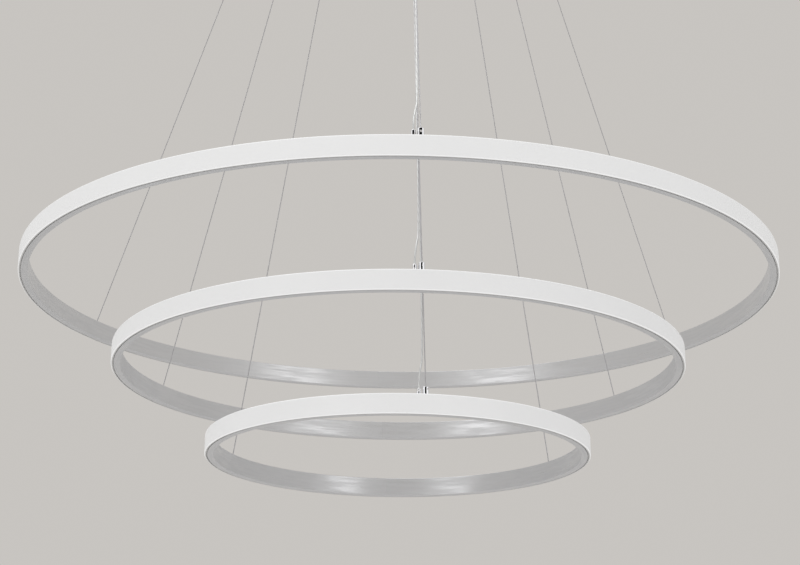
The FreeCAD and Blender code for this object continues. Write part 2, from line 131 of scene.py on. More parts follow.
class RingSizes(PropertyGroup):
    """The rings' radii and heights, and the section that all three share."""

    radii: lengths_of_rings("Radii", "Outside radii, from large to small", map(ring_radius, RINGS))
    tops: lengths_of_rings("Tops", "Heights of the top faces, from large to small", map(ring_top, RINGS))
    height: length("Section height", "Height of the ring's section", 0.020)
    depth: length("Section depth", "Depth of the ring's section", 0.010)
    web: length("Web wall", "Wall of the channel's inner face", 0.0015)
    flange: length("Flange wall", "Wall of the channel's top and bottom", 0.0014)
    frame_round: length("Frame rounding", "Radius of the channel's lower inside edge", 0.0008)
    diffuser_wall: length("Diffuser wall", "Wall of the opal band", 0.002)
    diffuser_round: length("Diffuser rounding", "Radius of the opal band's two outer edges", 0.0012)
    groove: length("Groove", "Gap between the opal band and the channel's edges", 0.001)
    seam: length("Seam", "Gap where a ring's two ends meet", 0.00006)


class SuspensionSizes(PropertyGroup):
    """The wires and power cords, and what holds them at both ends."""

    attach_inset: length("Attachment inset", "How far inside the ring's face the wires are fixed", 0.0062)
    exits: lengths_of_rings("Exits", "Radii at which the wires leave the canopy", (0.042, 0.028, 0.014))
    wire_radius: length("Wire radius", "Radius of a suspension wire", 0.0006)
    cord_behind: length("Cord behind", "How far behind its wire a power cord runs", 0.0023)
    cord_lead: length("Cord lead", "How far a cord first runs straight down from the canopy", 0.020)
    cord_ring_lead: length("Cord ring lead", "How far a cord first runs straight up from a ring", 0.012)
    cord_join: length("Cord join", "Height that a cord needs to come in behind its wire", 0.042)
    wire_lay: length("Wire lay", "Length in which a wire's strands go once round", 0.012)
    cord_radius: length("Cord radius", "Radius of a power cord", 0.001)
    gripper_radius: length("Gripper radius", "Radius of the gripper on a ring", 0.00325)
    gripper_height: length("Gripper height", "Height of the gripper on a ring", 0.0078)
    gland_radius: length("Gland radius", "Radius of the cord gland on a ring", 0.00225)
    gland_height: length("Gland height", "Height of the cord gland on a ring", 0.0063)
    gland_offset: length("Gland offset", "How far left of the gripper the cord gland is", 0.0065)
    stud_radius: length("Stud radius", "Radius of the studs through a ring's top flange", 0.0015)
    rivet_height: length("Rivet height", "How far the studs reach under the flange", 0.001)
    cord_play: length("Cord play", "Gap between a cord and its gland's bore", 0.0001)
    plunger_tip: length("Plunger tip", "Height of the release plungers' tips", -0.060)
    canopy_gland_tip: length("Canopy gland tip", "Height of the canopy's cord glands' tips", -0.054)
    canopy_gland_offset: length("Canopy gland offset", "How far left of its wire a cord leaves", 0.009)


class CanopySizes(PropertyGroup):
    """The canopy's cup and the grippers under it."""

    radius: length("Radius", "Outside radius of the canopy's cup", 0.1)
    height: length("Height", "Height of the canopy's cup", 0.045)
    wall: length("Wall", "Wall of the canopy's cup", 0.0015)
    edge: length("Edge", "Rounding of the cup's lower edge", 0.004)
    barrel_radius: length("Barrel radius", "Radius of a wire gripper's barrel", 0.0035)
    barrel_length: length("Barrel length", "Length of a wire gripper's barrel", 0.010)
    plunger_room: length("Plunger room", "How far inside a barrel's end its plunger's shoulder is", 0.0015)
    gland_flats: length("Gland flats", "Width across flats of a cord gland", 0.0064)


class FinishColours(PropertyGroup):
    """The colours that a finish starts from."""

    aluminium: colour("Aluminium", "Satin aluminium of the rings and canopy", (0.69, 0.70, 0.72))
    opal: colour("Opal", "Opal band, by the light that falls on it", (0.70, 0.70, 0.70))
    glow: colour("Glow", "Opal band, lit from inside", (0.97, 0.98, 1.0))
    glow_level: share("Glow level", "How strongly the opal band is lit from inside", 0.165)
    # Rim level and upper share: a painted highlight in the glow along the rounded edges, the lower one
    # most.
    rim_level: share("Rim level", "How strongly its lower rounded edge is lit from inside", 0.42)
    upper_share: share("Upper share", "How much of that light its upper rounded edge gets", 0.4)
    chrome: colour("Chrome", "Polished fittings", (0.88, 0.88, 0.90))
    steel: colour("Steel", "Suspension wires", (0.66, 0.66, 0.68))
    cord: colour("Cord", "Tinned cores seen through the clear sheath", (0.70, 0.71, 0.71))
    zinc: colour("Zinc", "Bracket, nuts and screws", (0.66, 0.67, 0.70))
    rubber: colour("Rubber", "Cable grommet", (0.04, 0.04, 0.042))
    driver: colour("Driver", "LED driver's case", (0.80, 0.80, 0.79))
    terminal: colour("Terminal", "Terminal block", (0.85, 0.85, 0.82))
    brass: colour("Brass", "Earth screw", (0.78, 0.60, 0.32))
    strip: colour("Strip", "LED strip", (0.85, 0.85, 0.82))


class StudioSettings(PropertyGroup):
    """Camera, backdrop, floor and light."""

    lens: FloatProperty(name="Lens", description="Focal length", default=83.72, unit="CAMERA")
    pitch: angle("Pitch", "How far the camera looks up", 17.873)
    roll: angle("Roll", "How far the camera is turned round its own line of sight", 0.375)
    floor_height: length("Floor height", "Height of the floor, below the ceiling", -2.4)
    backdrop: colour("Backdrop", "Plain backdrop, as camera and satin metal see it", (0.575, 0.555, 0.53))
    floor: colour("Floor", "Plain pale floor", (0.64, 0.625, 0.605))
    ambient: share("Ambient", "Light from all round", 0.84)


class Chandelier(PropertyGroup):
    """All settings of the chandelier."""

    rings: PointerProperty(type=RingSizes, name="Rings")
    suspension: PointerProperty(type=SuspensionSizes, name="Suspension")
    canopy: PointerProperty(type=CanopySizes, name="Canopy")
    colours: PointerProperty(type=FinishColours, name="Colours")
    studio: PointerProperty(type=StudioSettings, name="Studio")


# -------------------- surfaces --------------------


def unit(vectors):
    return vectors / np.linalg.norm(vectors, axis=-1, keepdims=True)


def smooth(low, high, values):
    """A step from 0 at low to 1 at high that starts and ends level: 3t² - 2t³ over the share t of the
    way."""
    t = np.clip((values - low) / (high - low), 0.0, 1.0)
    return t * t * (3.0 - 2.0 * t)


def place(azimuth, radius, z, side=0.0):
    """The point (r sin a + s cos a, -r cos a + s sin a, z), at azimuth a and radius r, moved s to the
    right."""
    sin, cos = math.sin(math.radians(azimuth)), math.cos(math.radians(azimuth))
    return np.array((radius * sin + side * cos, side * sin - radius * cos, z))


def rounded(corners, closed=True, steps=4, lead=0.0002):
    """A profile through (distance, height, radius) corners, each of which becomes the arc that touches
    both its sides: its centre lies on the line that halves the corner, at the radius over the sine of
    half the angle. One more point a lead before and after each arc keeps the flat sides flat in the
    shading."""
    corners = np.array(corners, float)
    here, radius = corners[:, :2], np.maximum(corners[:, 2:], 1e-6)
    back = unit(np.roll(here, 1, 0) - here)
    ahead = unit(np.roll(here, -1, 0) - here)
    half = np.arccos(np.clip((back * ahead).sum(1, keepdims=True), -1.0, 1.0)) / 2
    run = radius / np.tan(half)
    centre = here + unit(back + ahead) * radius / np.sin(half)
    first = here + back * run - centre
    last = here + ahead * run - centre
    start = np.arctan2(first[:, 1:], first[:, :1])
    turn = (np.arctan2(last[:, 1:], last[:, :1]) - start + math.pi) % (2 * math.pi) - math.pi
    angle = start + turn * np.linspace(0.0, 1.0, steps + 1)
    arcs = centre[:, None] + radius[:, None] * np.stack((np.cos(angle), np.sin(angle)), -1)
    before = (here + back * (run + lead))[:, None]
    after = (here + ahead * (run + lead))[:, None]
    points = np.concatenate((before, arcs, after), 1)
    if closed:
        return points.reshape(-1, 2)
    return np.concatenate((here[:1], points[1:-1].reshape(-1, 2), here[-1:]))


def turned(profile, at=(0.0, 0.0), count=96, start=0.0, sweep=360.0, flats=None):
    """A grid of a profile turned round an upright line: (x + r sin a, y - r cos a, z). r is the profile's
    distance or, on a hexagon, the smaller of that and half the flats' width over the cosine of the angle
    from a flat's middle."""
    stops = count if sweep == 360.0 else count + 1
    angle = np.radians(start + sweep * np.arange(stops) / count)[:, None]
    r, z = profile[None, :, 0], profile[None, :, 1]
    if flats:
        off = (angle + math.pi / 6) % (math.pi / 3) - math.pi / 6
        r = np.minimum(r, flats / 2 / np.cos(off))
    return np.stack(np.broadcast_arrays(at[0] + r * np.sin(angle), at[1] - r * np.cos(angle), z), -1)


def carried(path, section, side):
    """A grid of a closed section carried along a path: centre + u across + v over, where across is the
    side direction less its part along the path, and over is square to both."""
    ahead = unit(np.gradient(path, axis=0))
    across = unit(side - (ahead @ side)[:, None] * ahead)
    over = np.cross(ahead, across)
    return path[:, None] + section[:, :1] * across[:, None] + section[:, 1:] * over[:, None]


def stranded(low, high, radius, lay, strands=6, step=0.0012):
    """A grid of a stranded wire between two points, with level sections. Round its middle strand the
    outline is r = 2s cos d + s sqrt(1 - 4 sin² d), where s is a third of the wire's radius and d the
    angle from the nearest outer strand, and the section turns once in every lay."""
    rows = max(2, round(abs(high[2] - low[2]) / step))
    along = np.linspace(0.0, 1.0, rows)[:, None]
    spread = np.radians((-30.0, -13.0, 13.0))
    angle = (np.arange(strands)[:, None] * 2 * math.pi / strands + spread).ravel()
    off = np.tile(spread, strands)
    s = radius / 3
    r = 2 * s * np.cos(off) + s * np.sqrt(np.clip(1 - 4 * np.sin(off) ** 2, 0.0, 1.0))
    twist = angle + along * 2 * math.pi * np.linalg.norm(np.subtract(high, low)) / lay
    centre = low + along * np.subtract(high, low)
    circle = np.stack((r * np.cos(twist), r * np.sin(twist), 0 * twist), -1)
    return centre[:, None] + circle


def screw(head_radius, head_height, shank_radius, reach, recess, count=72):
    """A grid of a pan-head screw standing on its shank's end: a head whose top is a dome, h (1 - 0.35
    r²/R²) high, less a cross recess whose depth fades with the distance from both its arms' middle lines
    and from the axis."""
    r = np.linspace(0.0, head_radius * 0.93, 22)
    top = reach + head_height * (1 - 0.35 * (r / head_radius) ** 2)
    rim = [
        (head_radius * 0.975, reach + head_height * 0.66), (head_radius, reach + head_height * 0.56),
        (head_radius, reach + 0.06 * head_height), (head_radius * 0.985, reach),
        (shank_radius, reach), (shank_radius, 0.12 * shank_radius), (shank_radius * 0.85, 0.0), (0.0, 0.0),
    ]
    grid = turned(np.concatenate((np.stack((r, top), 1), rim)), count=count)
    x, y = np.abs(grid[..., 0]), np.abs(grid[..., 1])
    arm = np.minimum(x, y)
    reached = np.maximum(x, y)
    depth = (1 - smooth(0.6 * recess, recess, arm)) * (1 - smooth(2.9 * recess, 3.5 * recess, reached))
    on_top = grid[..., 2] > reach + head_height * 0.6
    grid[..., 2] -= np.where(on_top, depth * head_height * 0.5, 0.0)
    return grid


def turned_to(grid, at, axis):
    """A grid made along +Z, turned to an axis and moved to a point."""
    basis = np.array(Vector(axis).to_track_quat("Z", "Y").to_matrix())
    return grid @ basis.T + np.array(at)


def knurled(grid, at, low, high, flutes, depth):
    """The grid with straight flutes cut between two heights: each point moves inwards by the depth times
    (1 + cos n a) / 2, faded out at both ends."""
    x, y, z = grid[..., 0] - at[0], grid[..., 1] - at[1], grid[..., 2]
    r = np.hypot(x, y)
    outside = r > r.max() - depth
    end = 0.0004
    fade = smooth(low, low + end, z) * (1 - smooth(high - end, high, z))
    cut = depth * (1 + np.cos(flutes * np.arctan2(y, x))) / 2 * fade * outside
    keep = 1 - cut / np.maximum(r, 1e-9)
    return np.stack((at[0] + x * keep, at[1] + y * keep, z), -1)


def mesh_of(name, grids, rows_close=True, columns_close=True, run=None, sharp=38.0):
    """A closed mesh of equal grids of points: a face for each cell, a face at each end where rows stay
    open, poles merged and all faces outwards. Its UV map goes from 0 to 1 along the rows, or as run says,
    and the columns."""
    rows, columns = grids[0].shape[:2]
    across, along = (rows if rows_close else rows - 1), (columns if columns_close else columns - 1)
    i, j = np.meshgrid(np.arange(across), np.arange(along), indexing="ij")
    corners = ((0, 0), (1, 0), (1, 1), (0, 1))
    cells = np.stack([(i + a) % rows * columns + (j + b) % columns for a, b in corners], -1).reshape(-1, 4)
    run = np.arange(across + 1) / across if run is None else run
    uv = np.stack([np.stack((run[i + a], (j + b) / along), -1) for a, b in corners], -2).reshape(-1, 2)
    starts = np.arange(len(grids))[:, None, None] * rows * columns
    faces = (starts + cells).reshape(-1, 4).tolist()
    if not rows_close:
        ends = np.stack((np.arange(columns)[::-1], (rows - 1) * columns + np.arange(columns)))
        faces += (starts + ends).reshape(-1, columns).tolist()
    mesh = bpy.data.meshes.new(name)
    mesh.from_pydata(np.concatenate([g.reshape(-1, 3) for g in grids]), [], faces)
    spread = np.zeros((len(mesh.loops), 2), np.float32)
    spread[:len(uv) * len(grids)] = np.tile(uv, (len(grids), 1))
    mesh.uv_layers.new(name="UVMap").uv.foreach_set("vector", spread.ravel())
    work = bmesh.new()
    work.from_mesh(mesh)
    bmesh.ops.remove_doubles(work, verts=work.verts, dist=2e-7)
    bmesh.ops.recalc_face_normals(work, faces=work.faces)
    work.to_mesh(mesh)
    work.free()
    mesh.polygons.foreach_set("use_smooth", np.ones(len(mesh.polygons), bool))
    mesh.set_sharp_from_angle(angle=math.radians(sharp))
    return mesh


def open_mesh(name, grid):
    """A mesh of one grid of points whose rows close and whose columns stay open: a level one faces up."""
    rows, columns = grid.shape[:2]
    i, j = np.meshgrid(np.arange(rows), np.arange(columns - 1), indexing="ij")
    corners = ((0, 0), (0, 1), (1, 1), (1, 0))
    cells = np.stack([(i + a) % rows * columns + j + b for a, b in corners], -1).reshape(-1, 4)
    mesh = bpy.data.meshes.new(name)
    mesh.from_pydata(grid.reshape(-1, 3), [], cells.tolist())
    return mesh


def smooth_route(points):
    """The line of a route, as points: a NURBS spline of order 3 whose control points are the route's."""
    curve = bpy.data.curves.new("route", "CURVE")
    curve.dimensions = "3D"
    curve.resolution_u = 32
    spline = curve.splines.new("NURBS")
    spline.points.add(len(points) - 1)
    spline.points.foreach_set("co", np.column_stack((points, np.ones(len(points)))).ravel())
    spline.order_u = 3
    spline.use_endpoint_u = True
    holder = bpy.data.objects.new("route", curve)
    line = bpy.data.meshes.new_from_object(holder)
    found = np.empty(len(line.vertices) * 3)
    line.vertices.foreach_get("co", found)
    bpy.data.objects.remove(holder)
    bpy.data.curves.remove(curve)
    bpy.data.meshes.remove(line)
    return found.reshape(-1, 3)


# -------------------- finishes --------------------


def operator(operation, flipped=False):
    """A method that adds an operator's Math node. A flipped one takes its operands the other way round."""
    def method(self, *others):
        return self.shader.maths(operation, *((*others, self) if flipped else (self, *others)))
    return method


class Socket:
    """A node's output, so that shader maths reads as plain expressions."""

    def __init__(self, shader, output):
        self.shader, self.output = shader, output

    __add__ = __radd__ = operator("ADD")
    __sub__, __rsub__ = operator("SUBTRACT"), operator("SUBTRACT", flipped=True)
    __mul__ = __rmul__ = operator("MULTIPLY")
    __pow__, __mod__ = operator("POWER"), operator("FLOORED_MODULO")
    __abs__, __lt__ = operator("ABSOLUTE"), operator("LESS_THAN")


class Shader:
    """A node tree, and the one method that adds a node to it."""

    def __init__(self, tree):
        self.tree = tree
        tree.nodes.clear()

    def node(self, kind, settings=None, inputs=None, output=0):
        """Adds a node: its settings first, then its sockets' values or links. A tuple asks for several
        outputs."""
        made = self.tree.nodes.new(kind)
        for key, value in (settings or {}).items():
            if key == "stops":
                while len(made.color_ramp.elements) < len(value):
                    made.color_ramp.elements.new(1.0)
                for element, (position, stop) in zip(made.color_ramp.elements, value):
                    element.position, element.color = position, (*stop, 1.0)
            else:
                setattr(made, key, value)
        for key, value in (inputs or {}).items():
            if isinstance(value, Socket):
                self.tree.links.new(value.output, made.inputs[key])
            else:
                made.inputs[key].default_value = value
        if isinstance(output, tuple):
            return tuple(Socket(self, made.outputs[o]) for o in output)
        return Socket(self, made.outputs[output]) if made.outputs else None

    def maths(self, operation, *operands):
        return self.node("ShaderNodeMath", {"operation": operation}, dict(enumerate(operands)))

    def place(self, output="Object"):
        """A kind of coordinates, the object's own unless said, and the three numbers they are made of."""
        found = self.node("ShaderNodeTexCoord", output=output)
        return found, *self.node("ShaderNodeSeparateXYZ", inputs={"Vector": found}, output=("X", "Y", "Z"))

    def between(self, value, low, high):
        """A step from 0 to 1 that starts and ends level."""
        return self.node(
            "ShaderNodeMapRange", {"interpolation_type": "SMOOTHSTEP"}, {0: value, 1: low, 2: high}
        )

    def vector(self, x, y, z):
        return self.node("ShaderNodeCombineXYZ", inputs={"X": x, "Y": y, "Z": z})

    def noise(self, vector, scale, detail=2.0, roughness=0.5):
        return self.node(
            "ShaderNodeTexNoise",
            inputs={"Vector": vector, "Scale": scale, "Detail": detail, "Roughness": roughness},
        )

    def mix(self, factor, first, second):
        """A colour between two, by a share."""
        return self.node("ShaderNodeMix", {"data_type": "RGBA"}, {0: factor, 6: first, 7: second}, 2)

    def tones(self, factor, tone, low, high):
        """A colour between a darker and a lighter form of one tone, by a share."""
        return self.mix(factor, shade(tone, low), shade(tone, high))

    def bump(self, height, distance, normal=None):
        inputs = {"Distance": distance, "Height": height}
        if normal is not None:
            inputs["Normal"] = normal
        return self.node("ShaderNodeBump", inputs=inputs)

    def surface(self, **inputs):
        """A Principled BSDF to the material's output; Base_Color stands for the socket Base Color."""
        named = {key.replace("_", " "): value for key, value in inputs.items()}
        made = self.node("ShaderNodeBsdfPrincipled", inputs=named)
        self.node("ShaderNodeOutputMaterial", inputs={"Surface": made})


BLACK = (0.0, 0.0, 0.0, 1.0)


def shade(tone, level=1.0):
    """A colour as a socket takes it, made lighter or darker."""
    return (*(min(1.0, c * level) for c in tone), 1.0)


def satin_aluminium(s, c):
    """Anodised and finely brushed along the ring: fine streaks that run round the axis, a few broad ones
    that bend the reflections a little, and faint clouding."""
    spot, x, y, z = s.place()
    layer = (x * x + y * y) ** 0.5 + z
    fine = s.noise(s.vector(x * 5.0, y * 5.0, layer * 2400.0), 1.0, 3.0, 0.6)
    broad = s.noise(s.vector(x * 26.0, y * 26.0, layer * 330.0), 1.0, 2.0)
    streak = s.between(broad, 0.36, 0.64)
    cloud = s.noise(spot, 9.0, 3.0)
    mottle = fine * 0.3 + streak * 0.3 + cloud * 0.4
    tone = s.tones(mottle, c.aluminium, 0.97, 1.07)
    rough = 0.42 + fine * 0.04 - streak * 0.16
    normal = s.bump(fine, 0.000003, normal=s.bump(broad, 0.00002))
    s.surface(Base_Color=tone, Metallic=1.0, Roughness=rough, Normal=normal)


def canopy(s, c):
    """The same finish on a turned cup: its streaks are circles on the flat face and rings on the side."""
    spot, x, y, z = s.place()
    layer = (x * x + y * y) ** 0.5 - z
    fine = s.noise(s.vector(x * 12.0, y * 12.0, layer * 2600.0), 1.0, 3.0, 0.6)
    cloud = s.noise(spot, 22.0, 3.0)
    tone = s.tones(fine * 0.6 + cloud * 0.4, c.aluminium, 0.93, 1.04)
    rough = 0.27 + fine * 0.1 + cloud * 0.05
    s.surface(Base_Color=tone, Metallic=1.0, Roughness=rough, Normal=s.bump(fine, 0.000007))


def opal_diffuser(s, c):
    """Opal acrylic lit from inside: an even glow, plus a painted highlight in the glow along the band's
    rounded edges, strongest on the lower one, with a very fine grain."""
    spot, *_ = s.place()
    lit = s.node("ShaderNodeAttribute", {"attribute_name": "lit"}, output="Fac")
    cloud = s.noise(spot, 14.0, 2.0)
    grain = s.noise(spot, 2600.0, 1.0)
    tone = s.tones(cloud, c.opal, 0.98, 1.02)
    s.surface(
        Base_Color=tone, Roughness=0.42 + cloud * 0.06, Emission_Color=s.mix(lit, BLACK, shade(c.glow)),
        Emission_Strength=c.rim_level, Normal=s.bump(grain, 0.000004),
    )


def chrome(s, c):
    """Mirror-bright plating with faint turning lines, dulled in places by finger haze."""
    spot, x, y, z = s.place()
    haze = s.noise(spot, 260.0, 3.0)
    lines = s.noise(s.vector(x * 20.0, y * 20.0, z * 5200.0), 1.0, 1.0)
    tone = s.tones(haze, c.chrome, 0.97, 1.02)
    rough = s.node("ShaderNodeMapRange", inputs={0: haze, 1: 0.58, 2: 0.8, 3: 0.0, 4: 0.1})
    s.surface(Base_Color=tone, Metallic=1.0, Roughness=rough, Normal=s.bump(lines, 0.000001))


def steel_wire(s, c):
    """Drawn stainless strands: each a little lighter or darker along its length."""
    _, x, y, z = s.place()
    streak = s.noise(s.vector(x * 900.0, y * 900.0, z * 140.0), 1.0, 2.0)
    tone = s.tones(streak, c.steel, 0.86, 1.12)
    s.surface(Base_Color=tone, Metallic=1.0, Roughness=0.34 + streak * 0.14)


def clear_cord(s, c):
    """Two twisted tinned cores seen through a clear glossy sheath: their own tone where a core lies near
    the surface, painted shade in the groove between them, each core with fine strands of its own."""
    _, run, turn, _ = s.place("UV")
    core = abs((turn * 2.0 + run * 96.0) % 1.0 - 0.5) * 2.0
    gap = s.between(core, 0.74, 0.98)
    strand = abs((turn * 22.0 - run * 700.0) % 1.0 - 0.5) * 2.0
    bright = s.tones(strand, c.cord, 0.92, 1.08)
    # Painted shade: the groove between the two cores is darker.
    tone = s.mix(gap, bright, shade(c.cord, 0.72))
    s.surface(
        Base_Color=tone, Metallic=0.45 - gap * 0.3, Roughness=0.4 + gap * 0.08, Coat_Weight=1.0,
        Coat_Roughness=0.06, Coat_IOR=1.5, Normal=s.bump(strand - gap * 2.0, 0.00002),
    )


def zinc_steel(s, c):
    """Bright zinc plating: large soft crystals and a faint blue cast."""
    spot, *_ = s.place()
    crystal = s.node("ShaderNodeTexVoronoi", inputs={"Vector": spot, "Scale": 240.0}, output="Distance")
    cloud = s.noise(spot, 60.0, 4.0)
    tone = s.tones(crystal * 0.5 + cloud * 0.5, c.zinc, 0.86, 1.1)
    s.surface(Base_Color=tone, Metallic=1.0, Roughness=0.3 + cloud * 0.22, Normal=s.bump(crystal, 0.00001))


def grommet(s, c):
    """Moulded black rubber with a fine grain and a little dust."""
    spot, *_ = s.place()
    grain = s.noise(spot, 1800.0, 2.0)
    dust = s.noise(spot, 130.0, 4.0)
    tone = s.mix(dust, shade(c.rubber), shade(c.rubber, 1.9))
    s.surface(Base_Color=tone, Roughness=0.62 + grain * 0.15, Normal=s.bump(grain, 0.00004))


def driver_case(s, c):
    """Moulded plastic with a spark-eroded grain."""
    spot, *_ = s.place()
    grain = s.noise(spot, 1500.0, 2.0)
    tone = s.tones(s.noise(spot, 30.0), c.driver, 0.96, 1.03)
    s.surface(Base_Color=tone, Roughness=0.48 + grain * 0.12, Normal=s.bump(grain, 0.00004))


def terminal(s, c):
    """Milky polyamide, smooth, with faint flow marks."""
    flow = s.noise(s.place()[0], 90.0, 3.0)
    tone = s.tones(flow, c.terminal, 0.95, 1.04)
    s.surface(Base_Color=tone, Roughness=0.36 + flow * 0.1, Normal=s.bump(flow, 0.00003))


def brass(s, c):
    """Turned brass, slightly tarnished."""
    cloud = s.noise(s.place()[0], 160.0, 3.0)
    tone = s.tones(cloud, c.brass, 0.82, 1.05)
    s.surface(Base_Color=tone, Metallic=1.0, Roughness=0.24 + cloud * 0.16, Normal=s.bump(cloud, 0.00001))


def led_strip(s, c):
    """White flexible strip with a square diode every sixtieth of a metre, each glowing."""
    _, x, y, _ = s.place()
    radius = (x * x + y * y) ** 0.5
    round_it = s.maths("ARCTAN2", x, y) * radius
    step = abs(round_it * 60.0 % 1.0 - 0.5)
    diode = step < 0.13
    tone = s.mix(diode, shade(c.strip), (0.95, 0.86, 0.5, 1.0))
    glow = s.mix(diode, BLACK, (1.0, 0.97, 0.9, 1.0))
    s.surface(Base_Color=tone, Roughness=0.45, Emission_Color=glow, Emission_Strength=1.0)


FINISHES = {
    made.__name__: made
    for made in (
        satin_aluminium, canopy, opal_diffuser, chrome, steel_wire, clear_cord, zinc_steel, grommet,
        driver_case, terminal, brass, led_strip,
    )
}


def finish(slot):
    """The finish of a material slot, made when it is first asked for."""
    name = f"{slot} finish"
    found = bpy.data.materials.get(name)
    if found is None:
        found = bpy.data.materials.new(name)
        found.use_nodes = True
        FINISHES[slot](Shader(found.node_tree), bpy.context.scene.chandelier.colours)
    return found


# -------------------- pieces --------------------


def put(name, data):
    """A new object in the scene."""
    made = bpy.data.objects.new(name, data)
    bpy.context.scene.collection.objects.link(made)
    return made


def piece(mesh, body, slot, *nodes):
    """Makes a mesh a piece: it rides on a body, takes a slot's finish and stands for the model's nodes."""
    made = put(mesh.name, mesh)
    mesh.materials.append(finish(slot))
    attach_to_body(made, body)
    if nodes:
        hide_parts(*nodes)
    return made


def ring_facts(ring):
    """A ring's outside radius, its top's height, and the radius at which its wires leave the canopy."""
    settings, i = bpy.context.scene.chandelier, RINGS.index(ring)
    return settings.rings.radii[i], settings.rings.tops[i], settings.suspension.exits[i]


def wire_ends(ring, side):
    """A wire's two ends: its plunger's tip, and the top of its gripper or, behind, of the ring."""
    radius, top, leaves = ring_facts(ring)
    s = bpy.context.scene.chandelier.suspension
    low_z = top + (s.gripper_height if side == "front" else 0.0)
    high = place(EXITS[ring][side], leaves, s.plunger_tip)
    return high, place(POINTS[ring][side], radius - s.attach_inset, low_z)


def travel(ring):
    """How far a ring goes up."""
    joint = next(j for j in frame["joints"] if j["name"] == f"ring_{ring}_height")
    return max(joint["range_m"])


def shorten(made, ring, high, low):
    """Works out the share of a wire's or cord's height that would stay as its ring goes up, though nothing
    uses it, and gives the piece a mesh of its own.
    """
    keep = (high - low - travel(ring)) / (high - low)
    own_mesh(made)


def seamed(profile, radius, seam):
    """A profile turned round the chandelier's axis from one side of the seam to the other."""
    gap = math.degrees(seam / radius)
    return turned(profile, count=480, start=SEAM + gap / 2, sweep=360.0 - gap)


class CHANDELIER_OT_studio(Operator):
    """Sets up the camera, the pale floor and backdrop, and the soft studio light"""

    bl_idname = "chandelier.studio"
    bl_label = "Studio"

    def execute(self, context):
        scene, s = context.scene, context.scene.chandelier.studio
        lens = bpy.data.cameras.new("camera")
        lens.lens, lens.sensor_width, lens.sensor_fit = s.lens, 36.0, "HORIZONTAL"
        lens.clip_start, lens.clip_end = 0.05, 100.0
        camera = put("camera", lens)
        camera.matrix_world = (
            Matrix.Translation(CAMERA_PLACE)
            @ Matrix.Rotation(math.pi / 2 + s.pitch, 4, "X")
            @ Matrix.Rotation(s.roll, 4, "Z")
        )
        scene.camera = camera
        scene.view_settings.view_transform = "Standard"
        self.world(scene, s)
        self.floor(s)
        self.lamp("lamp_left", at=(-2.0, -2.7, -0.45), size=(1.2, 1.5), power=5.5)
        self.lamp("lamp_right", at=(2.0, -2.7, -0.45), size=(1.2, 1.5), power=5.2)
        self.lamp("lamp_over", at=(-0.9, -0.8, 2.6), size=(3.2, 3.2), power=45.0)
        return {"FINISHED"}

    def world(self, scene, s):
        """Even light from all round. The camera and satin metal see the plain backdrop's colour in its
        place. Mirror-bright metal sees the studio's dark front and a white wall on each side of it."""
        scene.world = bpy.data.worlds.new("studio")
        scene.world.use_nodes = True
        sky = Shader(scene.world.node_tree)
        kinds = ("Camera", "Glossy", "Transmission", "Singular")
        camera, glossy, through, mirrored = sky.node(
            "ShaderNodeLightPath", output=tuple(f"Is {kind} Ray" for kind in kinds)
        )
        seen = sky.maths("MAXIMUM", camera + glossy, through)
        _, x, y, _ = sky.place("Generated")
        azimuth = abs(sky.maths("ARCTAN2", x, y * -1.0))
        dark, white = (0.0, 0.0, 0.0), (1.0, 1.0, 1.0)
        walls = [(0.0, dark), (0.25, dark), (0.28, white), (0.54, white), (0.60, s.backdrop)]
        studio = sky.node("ShaderNodeValToRGB", {"stops": walls}, {0: azimuth * (1 / math.pi)})
        tone = sky.mix(glossy * mirrored, shade(s.backdrop), studio)
        light = sky.node("ShaderNodeBackground", inputs={"Color": shade(white), "Strength": s.ambient})
        backdrop = sky.node("ShaderNodeBackground", inputs={"Color": tone, "Strength": 1.0})
        both = sky.node("ShaderNodeMixShader", inputs={0: seen, 1: light, 2: backdrop})
        sky.node("ShaderNodeOutputWorld", inputs={"Surface": both})

    def floor(self, s):
        """A flat round floor whose colour fades into the backdrop, and that is clear from below."""
        r = np.concatenate(([0.0], np.geomspace(0.3, 9.0, 24)))
        grid = turned(np.stack((r, np.full(len(r), s.floor_height)), 1), count=64)
        made = put("floor", open_mesh("floor", grid))
        material = bpy.data.materials.new("floor finish")
        material.use_nodes = True
        shader = Shader(material.node_tree)
        spot, x, y, _ = shader.place()
        grain = shader.noise(spot, 3.0, 3.0)
        tone = shader.tones(grain, s.floor, 0.99, 1.01)
        matt = shader.node("ShaderNodeBsdfPrincipled", inputs={"Base Color": tone, "Roughness": 0.8})
        clear = shader.node("ShaderNodeBsdfTransparent")
        far = shader.between((x * x + y * y) ** 0.5, 3.0, 8.5)
        below = shader.node("ShaderNodeNewGeometry", output="Backfacing")
        factor = shader.maths("MAXIMUM", far, below)
        both = shader.node("ShaderNodeMixShader", inputs={0: factor, 1: matt, 2: clear})
        shader.node("ShaderNodeOutputMaterial", inputs={"Surface": both})
        made.data.materials.append(material)

    def lamp(self, name, at, size, power):
        """A rectangular soft lamp that faces the rings."""
        light = bpy.data.lights.new(name, "AREA")
        light.shape, light.size, light.size_y, light.energy = "RECTANGLE", *size, power
        made = put(name, light)
        aim = Vector((0.0, 0.0, -1.0)) - Vector(at)
        made.matrix_world = Matrix.Translation(at) @ aim.to_track_quat("-Z", "Y").to_matrix().to_4x4()
        made.visible_camera = False


